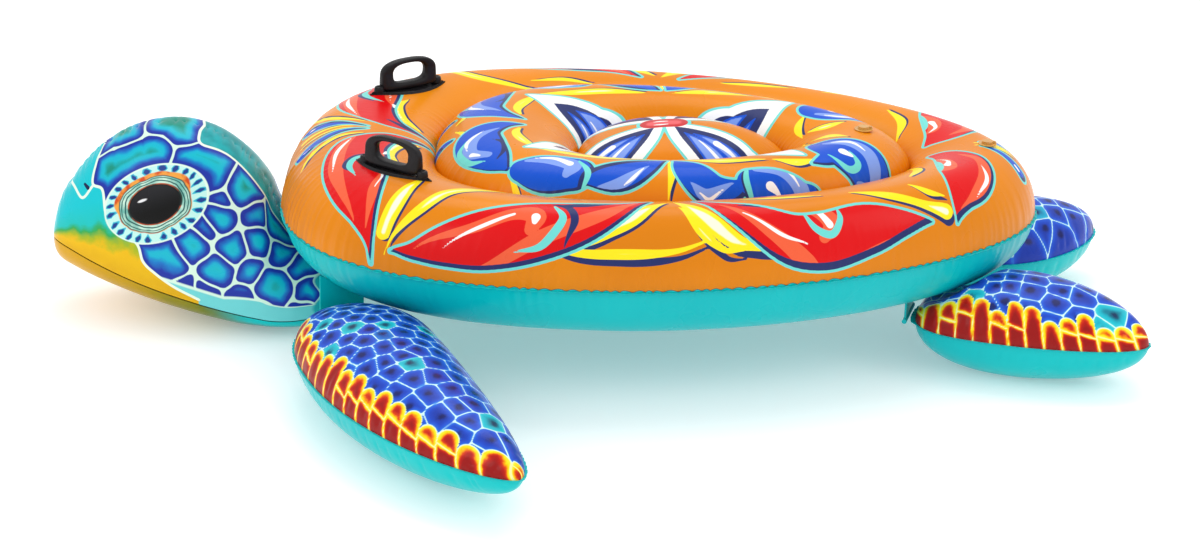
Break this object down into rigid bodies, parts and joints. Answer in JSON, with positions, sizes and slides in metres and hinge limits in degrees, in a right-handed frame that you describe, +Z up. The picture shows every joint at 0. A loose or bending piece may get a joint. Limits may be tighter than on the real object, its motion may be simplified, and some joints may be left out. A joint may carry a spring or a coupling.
{
  "type": "inflatable pool float",
  "caption": "Inflatable ride-on pool float shaped as a sea turtle, with ringed shell, hinged head and flippers, grab handles and air valves.",
  "frame": {"origin": "on the floor under the middle of the float's bounding box", "axes": "-X towards the head, +X towards the tail, +Y to the turtle's right, +Z up"},
  "size_m": [1.7574, 1.5922, 0.3714],
  "materials": {
    "printed_shell_vinyl": "glossy printed vinyl sheet, orange with scrollwork",
    "teal_vinyl": "glossy plain vinyl sheet",
    "printed_scale_vinyl": "glossy vinyl sheet printed with scales",
    "throat_vinyl": "glossy vinyl sheet, gold shading to teal",
    "handle_plastic": "semi-gloss moulded black plastic",
    "clear_vinyl": "soft translucent moulded vinyl"
  },
  "bodies": {
    "shell": {"shell_top_sheet": "printed_shell_vinyl", "shell_bottom_sheet": "teal_vinyl", "outer_baffle": "teal_vinyl", "inner_baffle": "teal_vinyl", "neck_hinge_tab": "teal_vinyl", "front_left_hinge_tab": "teal_vinyl", "front_right_hinge_tab": "teal_vinyl", "hind_left_hinge_tab": "teal_vinyl", "hind_right_hinge_tab": "teal_vinyl", "left_handle": "handle_plastic", "left_handle_patch": "handle_plastic", "right_handle": "handle_plastic", "right_handle_patch": "handle_plastic", "inner_valve_seat": "clear_vinyl", "outer_valve_seat": "clear_vinyl"},
    "head": {"head_left_panel": "printed_scale_vinyl", "head_right_panel": "printed_scale_vinyl", "head_throat_panel": "throat_vinyl", "neck_panel": "teal_vinyl"},
    "front_left_flipper": {"front_left_flipper_top": "printed_scale_vinyl", "front_left_flipper_bottom": "teal_vinyl"},
    "front_right_flipper": {"front_right_flipper_top": "printed_scale_vinyl", "front_right_flipper_bottom": "teal_vinyl"},
    "hind_left_flipper": {"hind_left_flipper_top": "printed_scale_vinyl", "hind_left_flipper_bottom": "teal_vinyl"},
    "hind_right_flipper": {"hind_right_flipper_top": "printed_scale_vinyl", "hind_right_flipper_bottom": "teal_vinyl"},
    "inner_stem": {"inner_valve_stem": "clear_vinyl"},
    "inner_cap": {"inner_valve_cap": "clear_vinyl"},
    "inner_flap": {"inner_valve_flap": "clear_vinyl"},
    "outer_stem": {"outer_valve_stem": "clear_vinyl"},
    "outer_cap": {"outer_valve_cap": "clear_vinyl"},
    "outer_flap": {"outer_valve_flap": "clear_vinyl"}
  },
  "joints": [
    {"name": "neck_nod", "type": "hinge", "parent": "shell", "child": "head", "pos_m": [-0.38674, 0, 0.1], "axis": [0, 1, 0], "range_deg": [-12, 0], "stiffness_Nm_per_rad": 6},
    {"name": "front_left_droop", "type": "hinge", "parent": "shell", "child": "front_left_flipper", "pos_m": [-0.39287, -0.22797, 0.08], "axis": [0.891, 0.454, 0], "range_deg": [0, 25], "stiffness_Nm_per_rad": 3},
    {"name": "front_right_droop", "type": "hinge", "parent": "shell", "child": "front_right_flipper", "pos_m": [-0.39287, 0.22797, 0.08], "axis": [-0.891, 0.454, 0], "range_deg": [0, 25], "stiffness_Nm_per_rad": 3},
    {"name": "hind_left_droop", "type": "hinge", "parent": "shell", "child": "hind_left_flipper", "pos_m": [0.50633, -0.14812, 0.08], "axis": [0.2874, 0.9578, 0], "range_deg": [0, 25], "stiffness_Nm_per_rad": 3},
    {"name": "hind_right_droop", "type": "hinge", "parent": "shell", "child": "hind_right_flipper", "pos_m": [0.50633, 0.14812, 0.08], "axis": [-0.2874, 0.9578, 0], "range_deg": [0, 25], "stiffness_Nm_per_rad": 3},
    {"name": "inner_stem_slide", "type": "slide", "parent": "shell", "child": "inner_stem", "axis": [0, 0, 1], "range_m": [0, 0.0175]},
    {"name": "inner_cap_open", "type": "hinge", "parent": "inner_stem", "child": "inner_cap", "pos_m": [0.44386, 0, 0.3418], "axis": [0, 1, 0], "range_deg": [0, 150]},
    {"name": "inner_flap_open", "type": "hinge", "parent": "inner_stem", "child": "inner_flap", "pos_m": [0.42426, 0, 0.30305], "axis": [0, 1, 0], "range_deg": [0, 60], "stiffness_Nm_per_rad": 0.002},
    {"name": "outer_stem_slide", "type": "slide", "parent": "shell", "child": "outer_stem", "axis": [0, 0, 1], "range_m": [0, 0.0175]},
    {"name": "outer_cap_open", "type": "hinge", "parent": "outer_stem", "child": "outer_cap", "pos_m": [0.64586, 0, 0.3228], "axis": [0, 1, 0], "range_deg": [0, 150]},
    {"name": "outer_flap_open", "type": "hinge", "parent": "outer_stem", "child": "outer_flap", "pos_m": [0.62626, 0, 0.28405], "axis": [0, 1, 0], "range_deg": [0, 60], "stiffness_Nm_per_rad": 0.002}
  ]
}
